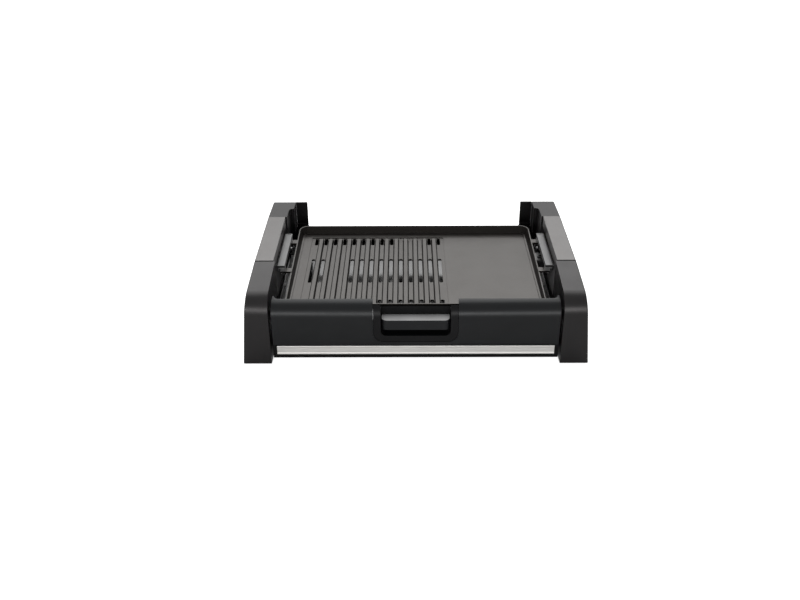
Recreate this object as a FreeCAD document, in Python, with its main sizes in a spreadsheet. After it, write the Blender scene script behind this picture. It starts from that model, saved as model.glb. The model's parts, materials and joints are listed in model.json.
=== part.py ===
import FreeCAD, Part
import math
import os
import Sketcher

os.makedirs("parts", exist_ok=True)
doc = FreeCAD.newDocument("electric_grill")
sheet = doc.addObject("Spreadsheet::Sheet", "Sizes")


class Size:
    """A length that knows its number and the sheet expression that gives it."""

    def __init__(self, text, value):
        self.text = text
        self.value = float(value)

    def __add__(self, other):
        return combine(self, "+", other)

    def __radd__(self, other):
        return combine(other, "+", self)

    def __sub__(self, other):
        return combine(self, "-", other)

    def __rsub__(self, other):
        return combine(other, "-", self)

    def __mul__(self, other):
        return combine(self, "*", other)

    def __rmul__(self, other):
        return combine(other, "*", self)

    def __truediv__(self, other):
        return combine(self, "/", other)

    def __neg__(self):
        return combine(0, "-", self)


def as_size(value):
    if isinstance(value, Size):
        return value
    return Size(repr(value), value)


def combine(first, sign, second):
    left = as_size(first)
    right = as_size(second)
    if sign == "+":
        value = left.value + right.value
    elif sign == "-":
        value = left.value - right.value
    elif sign == "*":
        value = left.value * right.value
    else:
        value = left.value / right.value
    return Size("(" + left.text + " " + sign + " " + right.text + ")", value)


aliases = []


def size(alias, value):
    """Put a driving dimension in the sheet and return it as a Size."""
    aliases.append(alias)
    row = str(len(aliases))
    sheet.set("A" + row, alias)
    sheet.set("B" + row, str(value))
    sheet.setAlias("B" + row, alias)
    return Size("Sizes." + alias, value)


def bind(feature, name, length):
    length = as_size(length)
    setattr(feature, name, length.value)
    feature.setExpression(name, length.text)


# Overall envelope: X across, Y from front to back, Z up, origin under the middle
half_width = size("half_width", 250)
half_depth = size("half_depth", 167)
handle_top = size("handle_top", 115.5)
casing_foot = size("casing_foot", 1)
side_lean = size("side_lean", 10.6)
seat_gap = size("seat_gap", 0.1)
run_gap = size("run_gap", 0.3)
past = size("cut_past", 1)
far_past = size("cut_far_past", 5)
front = -half_depth
back = half_depth

# Side casings and handles
casing_inner = size("casing_inner", 208.8)
casing_wall = size("casing_wall", 2.5)
front_crown = size("front_crown", 106.2)
rear_crown = size("rear_crown", 110.4)
bend_radius = size("bend_radius", 28)
rear_round = size("rear_round", 4)
seam_y = front + size("seam_from_front", 100.8)
crease_y = front + size("crease_from_front", 259.5)
sill_top = size("sill_top", 46)
sill_round = size("sill_round", 14)
handle_thick = size("handle_thick", 20)
handle_inner = size("handle_inner", 211)
seam_gap = size("seam_gap", 3)
tongue_reach = size("tongue_reach", 12)
edge_round = size("edge_round", 2.2)
wing_inner = size("wing_inner", 201.5)
wing_depth = size("wing_depth", 36)
wing_foot = size("wing_foot", 64)
shelf_thick = size("shelf_thick", 3)
screw_radius = size("screw_radius", 1.7)
screw_head = size("screw_head_radius", 3.5)
head_thick = size("screw_head_thick", 2.2)
screw_gap = size("screw_gap", 0.05)
screw_from_front = size("side_screw_from_front", 50)
side_screw_pitch = size("side_screw_pitch", 118)
handle_screw_long = size("handle_screw_long", 12)
base_screw_long = size("base_screw_long", 18)
side_screw_long = size("side_screw_long", 9)
panel_screw_long = size("panel_screw_long", 8)
surround_screw_long = size("surround_screw_long", 3.8)
grip_screw_long = size("grip_screw_long", 7.5)
bar_screw_long = size("plate_grip_screw_long", 12)
clamp_screw_bite = size("clamp_screw_bite", 7)
rear_screw_bite = size("rear_screw_bite", 2)
pilot_floor = size("pilot_floor", 0.5)
shroud_screw_bite = size("shroud_screw_bite", 2.5)
boss_side = size("boss_side", 9)
base_thick = size("casing_base_thick", 2.5)

# Base pan, runners and supports
pan_floor = size("pan_floor", 8.5)
sheet_thick = size("sheet_thick", 1)
pan_wall_top = size("pan_wall_top", 58)
pan_front_gap = size("pan_front_gap", 36)
rear_panel_inset = size("rear_panel_inset", 1)
pan_lip = size("pan_lip", 2)
runner_thick = size("runner_thick", 1.2)
runner_reach = size("runner_reach", 12)
runner_floor = size("runner_floor", 20.5)
support_top = size("support_top", 50)
support_reach = size("support_reach", 36)
support_long = size("support_long", 26)
rear_panel_thick = size("rear_panel_thick", 2.7)
rear_panel_top = size("rear_panel_top", 63.5)
ear_wide = size("ear_wide", 19.2)
ear_set_down = size("ear_set_down", 0.4)
ear_fillet = size("ear_fillet", 4)
ear_ledge = size("ear_ledge_deep", 4.5)
ear_ledge_thick = size("ear_ledge_thick", 1.5)

# Drawer
face_set_back = size("face_set_back", 4)
panel_half = size("panel_half", 205.2)
panel_foot = size("panel_foot", 29.8)
panel_top = size("panel_top", 95)
panel_bend = size("panel_bend", 20)
panel_wall = size("panel_wall", 2.5)
panel_return = size("panel_return", 29)
top_flat = size("panel_top_flat", 0.5)
lug_half = size("panel_lug_half", 8)
lug_near = size("panel_lug_near", 95)
lug_far = size("panel_lug_far", 176)
lug_over = size("panel_lug_over", 3)
lug_rise = size("panel_lug_rise", 16)
notch_half = size("notch_half", 61)
notch_foot = size("notch_foot", 34.8)
notch_round = size("notch_round", 15)
surround_gap = size("surround_gap", 0.5)
opening_half = size("opening_half", 50)
opening_foot = size("opening_foot", 45)
opening_round = size("opening_round", 8)
surround_set_in = size("surround_set_in", 0.4)
arm_deep = size("surround_arm_deep", 9)
back_wall_top = size("surround_back_wall_top", 82.5)
surround_bite = size("surround_screw_bite", 1.7)
flange_reach = size("surround_flange_reach", 12)
flange_low = size("surround_flange_low", 12)
flange_tall = size("surround_flange_tall", 12)
grip_foot = size("grip_foot", 55)
grip_top = size("grip_top", 70)
grip_deep = size("grip_deep", 19.6)
grip_round = size("grip_round", 9)
grip_gap = size("grip_side_gap", 0.6)
grip_wall = size("grip_wall", 2.5)
grip_rib = size("grip_back_rib", 6)
grip_screw_x = size("grip_screw_x", 30)
inlay_thick = size("inlay_thick", 0.8)
inlay_edge = size("inlay_edge", 1)
strip_foot = size("strip_foot", 14.4)
strip_tall = size("strip_tall", 13.9)
strip_half = size("strip_half", 200)
strip_proud = size("strip_proud", 0.4)
strip_thick = size("strip_thick", 1.6)
strip_roll = size("strip_roll", 1)
strip_round = size("strip_round", 0.4)
strip_gap = size("strip_gap", 0.2)
rail_foot = size("rail_foot", 8.2)
rail_deep = size("rail_deep", 8)
rail_set_back = size("rail_set_back", 0.6)
beam_inner = size("beam_inner", 187.5)
beam_thick = size("beam_thick", 5)
rear_beam_drop = size("rear_beam_drop", 6)
beam_foot = size("beam_foot", 11.5)
beam_top = size("beam_top", 46)
drawer_long = size("drawer_long", 296)
tray_half = size("tray_half", 186)
tray_floor = size("tray_floor", 35.2)
tray_thick = size("tray_thick", 0.8)
tray_lip = size("tray_lip", 5)
tray_front_gap = size("tray_front_gap", 19.4)
tray_back_gap = size("tray_back_gap", 4)

# Grill plate
plate_front = front + size("plate_front", 26)
plate_back = front + size("plate_back", 279)
plate_half = size("plate_half", 189.9)
plate_under = size("plate_under", 74)
plate_floor = size("plate_floor", 78)
rim_top = size("rim_top", 90)
rim_drop = size("rim_drop", 4.5)
rim_wide = size("rim_wide", 1.6)
rim_slant = size("rim_slant_degrees", 23)
plate_round = size("plate_round", 15)
rib_pitch = size("rib_pitch", 15.35)
rib_count = 13
first_channel = size("first_channel", -159.8)
channel_drop = size("channel_drop", 1)
step_tall = size("floor_step_tall", 1.2)
step_wide = size("floor_step_wide", 2.6)
rib_tall = size("rib_tall", 4.2)
rib_base = size("rib_base", 9.8)
rib_crest = size("rib_crest", 5.8)
rib_round = size("rib_round", 0.6)
rib_end_gap = size("rib_end_gap", 0.5)
recess_over = size("recess_over", 10)
recess_lead = size("recess_lead", 0.3)
recess_side = size("recess_side", 8.3)
recess_round = size("recess_round", 3)
slot_wide = size("slot_wide", 5.5)
leg_radius = size("leg_radius", 5)
leg_from_front = size("leg_from_front", 62)
leg_spread = size("leg_spread", 202)
tube_radius = size("tube_radius", 3.5)
tube_bend = size("tube_bend", 20)
grip_bar_top = size("grip_bar_top", 99)
grip_bar_inner = size("grip_bar_inner", 197.2)
grip_bar_outer = size("grip_bar_outer", 210.4)
grip_bar_front = front + size("grip_bar_front", 118.5)
grip_bar_long = size("grip_bar_long", 111.2)
lug_top = size("lug_top", 88)
terminal_y = front + size("terminal_from_front", 186)
terminal_spread = size("terminal_spread", 14)

# Smaller pieces
wing_thick = size("wing_thick", 3)
ledge_top = size("ear_ledge_top", 71)
web_round = size("web_round", 8)
tray_round = size("tray_round", 14)
lug_thick = size("lug_thick", 3)
lug_root = size("lug_root", 2.3)
lug_out = size("lug_out", 204.5)
lug_wide = size("lug_wide", 12)
tube_end = size("tube_end", 188)
tube_left = size("tube_left", -121.5)
tube_right = size("tube_right", 140)
clamp_thick = size("clamp_thick", 1.2)
clamp_wide = size("clamp_wide", 9)
clamp_reach = size("clamp_reach", 9.5)
clamp_boss = size("clamp_boss_radius", 4)
shroud_in = size("shroud_in", 190.5)
shroud_out = size("shroud_out", 206)
shroud_half = size("shroud_half", 13.75)
shroud_foot = size("shroud_foot", 59)
shroud_top = size("shroud_top", 80)
shroud_wall = size("shroud_wall", 2)
shroud_round = size("shroud_round", 3)
ring_radius = size("ring_radius", 4.5)
ring_hole = size("ring_hole", 2.8)
ring_front = size("ring_from_middle", 3)
ear_screw_in = size("shroud_ear_screw_in", 5)
pin_end_gap = size("pin_end_gap", 3)
probe_root = size("probe_root", 14)
contact_radius = size("contact_radius", 2)
probe_radius = size("probe_radius", 3)
probe_bore = size("probe_bore_radius", 2.25)
ear_reach = size("shroud_ear_reach", 18.5)
ear_span = size("shroud_ear_span", 9)
strap_low = size("strap_low", 93.3)
strap_thick = size("strap_thick", 2)
strap_out = size("strap_out", 207.1)
bar_foot = size("grip_bar_foot", 90)
bar_round = size("grip_bar_round", 1)
shoulder = size("grip_bar_shoulder", 2.4)
shoulder_drop = size("grip_bar_shoulder_drop", 1.4)
dish_deep = size("grip_bar_dish_deep", 0.5)
dish_edge = size("grip_bar_dish_edge", 2)
boss_tall = size("boss_tall", 26)
boss_inset = size("boss_inset", 14)
rear_boss_inset = size("rear_boss_inset", 12)
tongue_inset = size("tongue_inset", 5)
tongue_rise = size("tongue_rise", 3)
tongue_drop = size("tongue_drop", 6)
tongue_slack = size("tongue_slack", 0.5)
groove_deep = size("finger_groove_deep", 8)
groove_inset = size("finger_groove_inset", 16)
groove_edge = size("finger_groove_edge", 6)
foot_inset = size("foot_inset", 30)
foot_long = size("foot_long", 30)
foot_wide = size("foot_wide", 24)
stem_radius = size("foot_stem_radius", 4)
stem_over = size("foot_stem_over", 3)
side_screw_up = size("side_screw_up", 17.5)
panel_screw_z = size("rear_panel_screw_z", 40)
runner_end_gap = size("runner_end_gap", 12)
leg_inset = size("leg_inset", 14)
rib_back = front + size("rib_back", 248)
tube_front = front + size("tube_front", 81)
tube_back = front + size("tube_back", 207)
ring_in = size("ring_in", 8)

PLANES = {"X": "YZ_Plane", "Y": "XZ_Plane", "Z": "XY_Plane"}
nodes = []
cuts = []


def body_of(name):
    body = doc.addObject("PartDesign::Body", name)
    body.Label = name
    nodes.append(body)
    return body


def origin_plane(body, axis):
    for feature in body.Origin.OriginFeatures:
        if feature.Role == PLANES[axis]:
            return feature
    raise RuntimeError("no plane square to " + axis)


def pin_point(sketch, geometry, point, across, along):
    for kind, length in (("DistanceX", across), ("DistanceY", along)):
        number = sketch.addConstraint(Sketcher.Constraint(kind, -1, 1, geometry, point, length.value))
        sketch.setExpression("Constraints[" + str(number) + "]", length.text)


def pin_radius(sketch, geometry, radius):
    number = sketch.addConstraint(Sketcher.Constraint("Radius", geometry, radius.value))
    sketch.setExpression("Constraints[" + str(number) + "]", radius.text)


def circle(across, along, radius):
    return {"circle": (as_size(across), as_size(along), as_size(radius))}


def box(x_low, x_high, y_low, y_high, radius=None):
    """A rectangle, with one radius on its corners where given."""
    corners = [(x_low, y_low), (x_high, y_low), (x_high, y_high), (x_low, y_high)]
    if radius is None:
        return corners
    return [(across, along, radius) for across, along in corners]


def add_circle(sketch, across, along, radius):
    centre = FreeCAD.Vector(across.value, along.value, 0)
    ring = sketch.addGeometry(Part.Circle(centre, FreeCAD.Vector(0, 0, 1), radius.value), False)
    pin_radius(sketch, ring, radius)
    pin_point(sketch, ring, 3, across, along)


def tangent_points(before, here, after, radius):
    """Where an arc of this radius leaves the two edges that meet at a corner."""
    to_before = (before - here).normalize()
    to_after = (after - here).normalize()
    reach = radius / math.tan(to_before.getAngle(to_after) / 2)
    return here + to_before * reach, here + to_after * reach


def add_outline(sketch, outline, closed=True):
    """Lines through the corners, with an arc at each corner that has a radius."""
    corners = [tuple(as_size(value) for value in corner) for corner in outline]
    count = len(corners)
    points = [FreeCAD.Vector(corner[0].value, corner[1].value, 0) for corner in corners]
    ends = []
    for i, corner in enumerate(corners):
        if len(corner) == 3:
            ends.append(tangent_points(points[i - 1], points[i], points[(i + 1) % count], corner[2].value))
        else:
            ends.append((points[i], points[i]))
    lines = []
    for i in range(count if closed else count - 1):
        line = Part.LineSegment(ends[i][1], ends[(i + 1) % count][0])
        lines.append(sketch.addGeometry(line, False))
    for i, corner in enumerate(corners):
        if not closed and i == 0:
            pin_point(sketch, lines[0], 1, corner[0], corner[1])
            continue
        if not closed and i == count - 1:
            pin_point(sketch, lines[-1], 2, corner[0], corner[1])
            continue
        before = lines[i - 1]
        after = lines[i]
        if len(corner) == 2:
            sketch.addConstraint(Sketcher.Constraint("Coincident", before, 2, after, 1))
            pin_point(sketch, after, 1, corner[0], corner[1])
            continue
        leave, join = ends[i]
        here = points[i]
        inward = (leave + join - here * 2).normalize()
        half = (leave - here).getAngle(join - here) / 2
        middle = here + inward * (corner[2].value / math.sin(half) - corner[2].value)
        arc = sketch.addGeometry(Part.Arc(leave, middle, join), False)
        turn = (here - points[i - 1]).cross(points[(i + 1) % count] - here).z
        first, last = (1, 2) if turn > 0 else (2, 1)
        sketch.addConstraint(Sketcher.Constraint("Tangent", before, 2, arc, first))
        sketch.addConstraint(Sketcher.Constraint("Tangent", after, 1, arc, last))
        pin_radius(sketch, arc, corner[2])
        mark = sketch.addGeometry(Part.Point(here), True)
        sketch.addConstraint(Sketcher.Constraint("PointOnObject", mark, 1, before))
        sketch.addConstraint(Sketcher.Constraint("PointOnObject", mark, 1, after))
        pin_point(sketch, mark, 1, corner[0], corner[1])


def sketch_on(body, name, axis, start, outlines, closed=True):
    """Sketch outlines square to an axis of the body, at a distance start along it."""
    sketch = body.newObject("Sketcher::SketchObject", name)
    sketch.AttachmentSupport = [(origin_plane(body, axis), "")]
    sketch.MapMode = "FlatFace"
    place = as_size(start)
    if axis == "Y":
        place = -place
    sketch.AttachmentOffset = FreeCAD.Placement(FreeCAD.Vector(0, 0, place.value), FreeCAD.Rotation())
    sketch.setExpression(".AttachmentOffset.Base.z", place.text)
    for outline in outlines:
        if isinstance(outline, dict):
            add_circle(sketch, *outline["circle"])
        else:
            add_outline(sketch, outline, closed)
    return sketch


def pad(body, name, axis, start, end, *outlines, taper=None):
    """Add material from start to end along an axis."""
    feature = body.newObject("PartDesign::Pad", name)
    feature.Profile = sketch_on(body, name + "_outline", axis, start, outlines)
    bind(feature, "Length", as_size(end) - start)
    feature.Reversed = axis == "Y"
    if taper is not None:
        bind(feature, "TaperAngle", taper)
    return feature


def cut(body, name, axis, start, end, *outlines, taper=None):
    """Take material away from start to end along an axis."""
    feature = body.newObject("PartDesign::Pocket", name)
    feature.Profile = sketch_on(body, name + "_outline", axis, start, outlines)
    bind(feature, "Length", as_size(end) - start)
    feature.Reversed = axis != "Y"
    if taper is not None:
        bind(feature, "TaperAngle", taper)
    cuts.append(feature)
    return feature


def repeat(body, feature, name, axis, pitch, count):
    """Repeat a feature along an axis of the body."""
    pattern = body.newObject("PartDesign::LinearPattern", name)
    pattern.Originals = [feature]
    for line in body.Origin.OriginFeatures:
        if line.Role == axis + "_Axis":
            pattern.Direction = (line, [""])
    bind(pattern, "Length", as_size(pitch) * (count - 1))
    pattern.Occurrences = count
    body.Tip = pattern
    return pattern


def round_edges(body, name, radius, wanted):
    """Fillet the edges whose middle point and direction pass a test."""
    doc.recompute()
    base = body.Tip
    names = []
    for number, edge in enumerate(base.Shape.Edges, 1):
        if wanted(edge.BoundBox):
            names.append("Edge" + str(number))
    if not names:
        raise RuntimeError(body.Label + ": no edge for " + name)
    feature = body.newObject("PartDesign::Fillet", name)
    feature.Base = (base, names)
    bind(feature, "Radius", radius)
    doc.recompute()
    return feature


def mirror_node(source, name, axis="X"):
    """The same piece on the other side of the object."""
    mirrored = doc.addObject("Part::Mirroring", name)
    mirrored.Label = name
    mirrored.Source = source
    mirrored.Normal = FreeCAD.Vector(*[1 if axis == letter else 0 for letter in "XYZ"])
    nodes.append(mirrored)
    return mirrored


def cylinder(name, axis, place, radius, length):
    """A plain cylinder from a place, along +X, +Y or +Z, or along -X or -Z."""
    solid = doc.addObject("Part::Cylinder", name)
    bind(solid, "Radius", radius)
    bind(solid, "Height", length)
    turns = {
        "+Z": FreeCAD.Rotation(),
        "-Z": FreeCAD.Rotation(FreeCAD.Vector(1, 0, 0), 180),
        "+X": FreeCAD.Rotation(FreeCAD.Vector(0, 1, 0), 90),
        "-X": FreeCAD.Rotation(FreeCAD.Vector(0, 1, 0), -90),
        "+Y": FreeCAD.Rotation(FreeCAD.Vector(1, 0, 0), -90),
        "-Y": FreeCAD.Rotation(FreeCAD.Vector(1, 0, 0), 90),
    }
    point = [as_size(value) for value in place]
    solid.Placement = FreeCAD.Placement(FreeCAD.Vector(*[value.value for value in point]), turns[axis])
    for letter, value in zip("xyz", point):
        solid.setExpression(".Placement.Base." + letter, value.text)
    return solid


def screws(name, places, length):
    """A group of like screws; each place is an axis and the seat under the head."""
    opposite = {"+": "-", "-": "+"}
    solids = []
    for number, (axis, x, y, z) in enumerate(places):
        label = name + "_" + str(number)
        shank = cylinder(label + "_shank", axis, (x, y, z), screw_radius, length)
        head = cylinder(label + "_head", opposite[axis[0]] + axis[1], (x, y, z), screw_head, head_thick)
        screw = doc.addObject("Part::MultiFuse", label)
        screw.Shapes = [shank, head]
        solids.append(screw)
    return group_node(name, solids)


def group_node(name, solids):
    group = doc.addObject("Part::Compound", name)
    group.Label = name
    group.Links = solids
    nodes.append(group)
    return group


def across(side, inner, outer):
    """Low and high x of a span that lies on the right (side 1) or the left (side -1)."""
    if side > 0:
        return inner, outer
    return -as_size(outer), -as_size(inner)


def both_sides(places):
    """The same screw places on the right and on the left."""
    mirrored = [({"+X": "-X", "-X": "+X"}.get(axis, axis), -as_size(x), y, z) for axis, x, y, z in places]
    return places + mirrored


# Side casing: leaning block, rear wing, crown profile, hand opening, then hollow
lean_at_top = half_width - side_lean
cover_screw_y = [front + boss_inset, seam_y - boss_inset, crease_y + rear_boss_inset, back - rear_boss_inset]
hole = screw_radius + screw_gap
casing = body_of("right_side_casing")
pad(casing, "block", "Y", front, back, [
    (casing_inner, casing_foot), (half_width, casing_foot),
    (lean_at_top, handle_top), (casing_inner, handle_top)])
wing_front = back - wing_depth
wing_step = casing_inner - wing_inner
pad(casing, "wing", "Z", wing_foot, handle_top, [
    (casing_inner + casing_wall, wing_front - wing_step * 2), (casing_inner, wing_front - wing_step * 2),
    (casing_inner, wing_front, wing_step * 0.9), (wing_inner, wing_front),
    (wing_inner, back), (casing_inner + casing_wall, back)])
above = handle_top + far_past
cut(casing, "crown", "X", wing_inner - far_past, half_width + far_past, [
    (front - far_past, sill_top), (front, sill_top), (front, front_crown, bend_radius), (seam_y, handle_top),
    (crease_y, handle_top), (back, rear_crown, rear_round), (back, sill_top), (back + far_past, sill_top),
    (back + far_past, above), (front - far_past, above)])
cut(casing, "hand_opening", "X", casing_inner - past, half_width + far_past, [
    (seam_y, sill_top, sill_round), (crease_y, sill_top, sill_round), (crease_y, above), (seam_y, above)])


def on_outer_crown(edge):
    """Top edges of the outer face, which leans in as it rises."""
    return edge.XMin > casing_inner.value + 20 and edge.ZMax > sill_top.value + 20 \
        and edge.YLength > 5 and edge.ZMin > sill_top.value + 20


round_edges(casing, "outer_edges", edge_round, on_outer_crown)
top_wall_x = lean_at_top - casing_wall
lower_outer = half_width - casing_wall
cavity_top = sill_top - casing_wall
lean_slope = side_lean / (handle_top - casing_foot)
cavity_front = front + casing_wall
cavity_back = back - casing_wall
cavity_in = casing_inner + casing_wall
cut(casing, "lower_hollow", "Y", cavity_front, cavity_back, [
    (cavity_in, casing_foot - past), (lower_outer, casing_foot - past),
    (lower_outer - lean_slope * (cavity_top - casing_foot), cavity_top), (cavity_in, cavity_top)])
cut(casing, "front_hollow", "X", cavity_in, top_wall_x, [
    (cavity_front, cavity_top - far_past), (cavity_front, front_crown - casing_wall, bend_radius - casing_wall),
    (seam_y - casing_wall, handle_top - casing_wall * 1.1), (seam_y - casing_wall, cavity_top - far_past)])
cut(casing, "rear_hollow", "X", cavity_in, top_wall_x, [
    (crease_y + casing_wall, cavity_top - far_past), (crease_y + casing_wall, handle_top - casing_wall * 1.1),
    (cavity_back, rear_crown - casing_wall), (cavity_back, cavity_top - far_past)])
tongue_in = handle_inner + tongue_inset
tongue_out = lean_at_top - tongue_inset
tongue_foot = handle_top - handle_thick + tongue_rise
tongue_top = handle_top - tongue_drop
slack = run_gap / 2
socket_spans = [("front", seam_y - casing_wall - past, seam_y + past),
                ("rear", crease_y - past, crease_y + casing_wall + past)]
for name, low, high in socket_spans:
    cut(casing, name + "_socket", "Y", low, high, [
        (tongue_in - slack, tongue_foot - seat_gap), (tongue_out + slack, tongue_foot - seat_gap),
        (tongue_out + slack, tongue_top + slack), (tongue_in - slack, tongue_top + slack)])
shelf_top = tongue_foot - seat_gap
screw_x = (tongue_in + tongue_out) / 2
shelf_reach = tongue_reach + casing_wall
front_shelf = (seam_y - shelf_reach, seam_y - casing_wall / 2)
rear_shelf = (crease_y + casing_wall / 2, crease_y + shelf_reach)
front_screw_y = seam_y - casing_wall - tongue_reach / 2
rear_screw_y = crease_y + casing_wall + tongue_reach / 2
for name, span, screw_y in (("front", front_shelf, front_screw_y), ("rear", rear_shelf, rear_screw_y)):
    pad(casing, name + "_shelf", "Z", shelf_top - shelf_thick, shelf_top,
        box(casing_inner + casing_wall / 2, lean_at_top - casing_wall / 2, span[0], span[1]),
        circle(screw_x, screw_y, hole))
boss_top = casing_foot + boss_tall
boss_x = cavity_in + boss_side / 2
for number, boss_y in enumerate(cover_screw_y):
    pad(casing, "boss_" + str(number), "Z", casing_foot + base_thick, boss_top,
        box(casing_inner + casing_wall / 2, cavity_in + boss_side, boss_y - boss_side / 2,
            boss_y + boss_side / 2),
        circle(boss_x, boss_y, hole))
side_screw_z = runner_floor + side_screw_up
side_screw_y = [front + screw_from_front + side_screw_pitch * number for number in range(3)]
leg_y = [front + leg_from_front, front + leg_from_front + leg_spread]
support_screw_z = support_top + runner_thick + screw_head
wall_screw_places = [(y, side_screw_z) for y in side_screw_y] + [(y, support_screw_z) for y in leg_y]
cut(casing, "side_screw_holes", "X", casing_inner - past, cavity_in + past,
    *[circle(y, z, hole) for y, z in wall_screw_places])
mirror_node(casing, "left_side_casing")

# Handle bar that bridges the hand opening, with a tongue at each end
handle = body_of("right_handle")
handle_foot = handle_top - handle_thick
lean_at = half_width - lean_slope * (handle_foot - casing_foot)
pad(handle, "bar", "Y", seam_y + seam_gap, crease_y - seat_gap, [
    (handle_inner, handle_foot, edge_round * 2), (lean_at, handle_foot, edge_round * 2),
    (lean_at_top, handle_top, edge_round), (handle_inner, handle_top, edge_round / 2)])
tongue_box = box(tongue_in, tongue_out, tongue_foot, tongue_top)
tongue_end = casing_wall + tongue_reach - tongue_slack
pad(handle, "front_tongue", "Y", seam_y - tongue_end, seam_y + tongue_inset, tongue_box)
pad(handle, "rear_tongue", "Y", crease_y - tongue_inset, crease_y + tongue_end, tongue_box)
cut(handle, "finger_groove", "Z", handle_foot - past, handle_foot + groove_deep,
    box(handle_inner + groove_edge, lean_at_top - groove_edge, seam_y + groove_inset, crease_y - groove_inset,
        groove_edge))
cut(handle, "screw_holes", "Z", tongue_foot - past, tongue_top + past,
    circle(screw_x, front_screw_y, hole), circle(screw_x, rear_screw_y, hole))
mirror_node(handle, "left_handle")
handle_seat = shelf_top - shelf_thick
screws("handle_screws", both_sides([
    ("+Z", screw_x, y, handle_seat) for y in (front_screw_y, rear_screw_y)]), handle_screw_long)

# Plate that closes the casing from below, and the rubber feet
cover = body_of("right_casing_base")
cover_top = casing_foot + base_thick
foot_y = [front + foot_inset, back - foot_inset]
foot_x = (casing_inner + half_width) / 2
pad(cover, "plate", "Z", casing_foot, cover_top,
    box(cavity_in + seat_gap, lower_outer - seat_gap * 4, cavity_front + seat_gap, cavity_back - seat_gap),
    *([circle(boss_x, y, hole) for y in cover_screw_y] + [circle(foot_x, y, stem_radius) for y in foot_y]))
base_seat = casing_foot + base_thick / 2
cut(cover, "head_recesses", "Z", casing_foot - past, base_seat,
    *[circle(boss_x, y, screw_head + run_gap) for y in cover_screw_y])
mirror_node(cover, "left_casing_base")
screws("casing_base_screws", both_sides([("+Z", boss_x, y, base_seat) for y in cover_screw_y]), base_screw_long)


def foot(name, x, y):
    """A rubber pad with a stem through the casing base."""
    pad_solid = doc.addObject("Part::Box", name + "_pad")
    bind(pad_solid, "Length", foot_long)
    bind(pad_solid, "Width", foot_wide)
    bind(pad_solid, "Height", casing_foot)
    stem = cylinder(name + "_stem", "+Z", (x, y, 0), stem_radius - screw_gap, cover_top + stem_over)
    for letter, value in (("x", x - foot_long / 2), ("y", y - foot_wide / 2)):
        pad_solid.setExpression(".Placement.Base." + letter, value.text)
    joined = doc.addObject("Part::MultiFuse", name)
    joined.Shapes = [pad_solid, stem]
    return joined


group_node("rubber_feet", [foot("foot_" + str(number), x, y) for number, (x, y) in enumerate(
    [(side * foot_x, y) for side in (-1, 1) for y in foot_y])])

# Folded base pan between the casings
pan_half = casing_inner - seat_gap
pan_front = front + pan_front_gap
panel_back = back - rear_panel_inset
panel_face = panel_back - rear_panel_thick
pan_back = panel_face - seat_gap
pan = body_of("base_pan")
pad(pan, "floor", "Z", pan_floor, pan_floor + sheet_thick, box(-pan_half, pan_half, pan_front, pan_back))
for side, low, high in (("left", -pan_half, sheet_thick - pan_half),
                        ("right", pan_half - sheet_thick, pan_half)):
    pad(pan, side + "_wall", "X", low, high, box(pan_front, pan_back, pan_floor, pan_wall_top))
    cut(pan, side + "_holes", "X", low - past, high + past, *[circle(y, z, hole) for y, z in wall_screw_places])
pad(pan, "rear_wall", "Y", pan_back - sheet_thick, pan_back, box(-pan_half, pan_half, pan_floor, pan_wall_top))
pad(pan, "front_lip", "Y", pan_front, pan_front + sheet_thick,
    box(-pan_half, pan_half, pan_floor, pan_floor + pan_lip))
panel_screw_x = [90, 180]
cut(pan, "rear_holes", "Y", pan_back - sheet_thick - past, pan_back + past,
    *[circle(side * x, panel_screw_z, hole) for side in (-1, 1) for x in panel_screw_x])

# Drawer runner: channel on the pan wall
wall_face = pan_half - sheet_thick
runner_web = wall_face - runner_thick
runner_front = pan_front + 2
runner_back = pan_back - runner_end_gap
channel_low = runner_floor + runner_thick
channel_high = channel_low + wing_thick + run_gap * 2
runner = body_of("right_drawer_runner")
pad(runner, "web", "X", runner_web, wall_face,
    box(runner_front, runner_back, runner_floor, side_screw_z + 6),
    *[circle(y, side_screw_z, hole) for y in side_screw_y])
pad(runner, "lower_flange", "Z", runner_floor, channel_low,
    box(wall_face - runner_reach, wall_face, runner_front, runner_back))
pad(runner, "upper_flange", "Z", channel_high, channel_high + runner_thick,
    box(wall_face - runner_reach, wall_face, runner_front, runner_back))
mirror_node(runner, "left_drawer_runner")
screws("side_screws", both_sides([("+X", runner_web, y, side_screw_z) for y in side_screw_y]), side_screw_long)

# Steel shelves on the pan walls that carry the legs of the grill plate
leg_x = plate_half - leg_inset
for place, y in (("front", leg_y[0]), ("rear", leg_y[1])):
    support = body_of("right_" + place + "_plate_support")
    low = y - support_long / 2
    high = y + support_long / 2
    pad(support, "leg", "X", runner_web, wall_face,
        box(low, high, support_top, pan_wall_top - seat_gap * 2),
        circle(y, support_screw_z, hole))
    pad(support, "shelf", "Z", support_top, support_top + runner_thick,
        box(wall_face - support_reach, wall_face, low, high))
    mirror_node(support, "left_" + place + "_plate_support")
screws("support_screws", both_sides([("+X", runner_web, y, support_screw_z) for y in leg_y]), side_screw_long)

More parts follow.
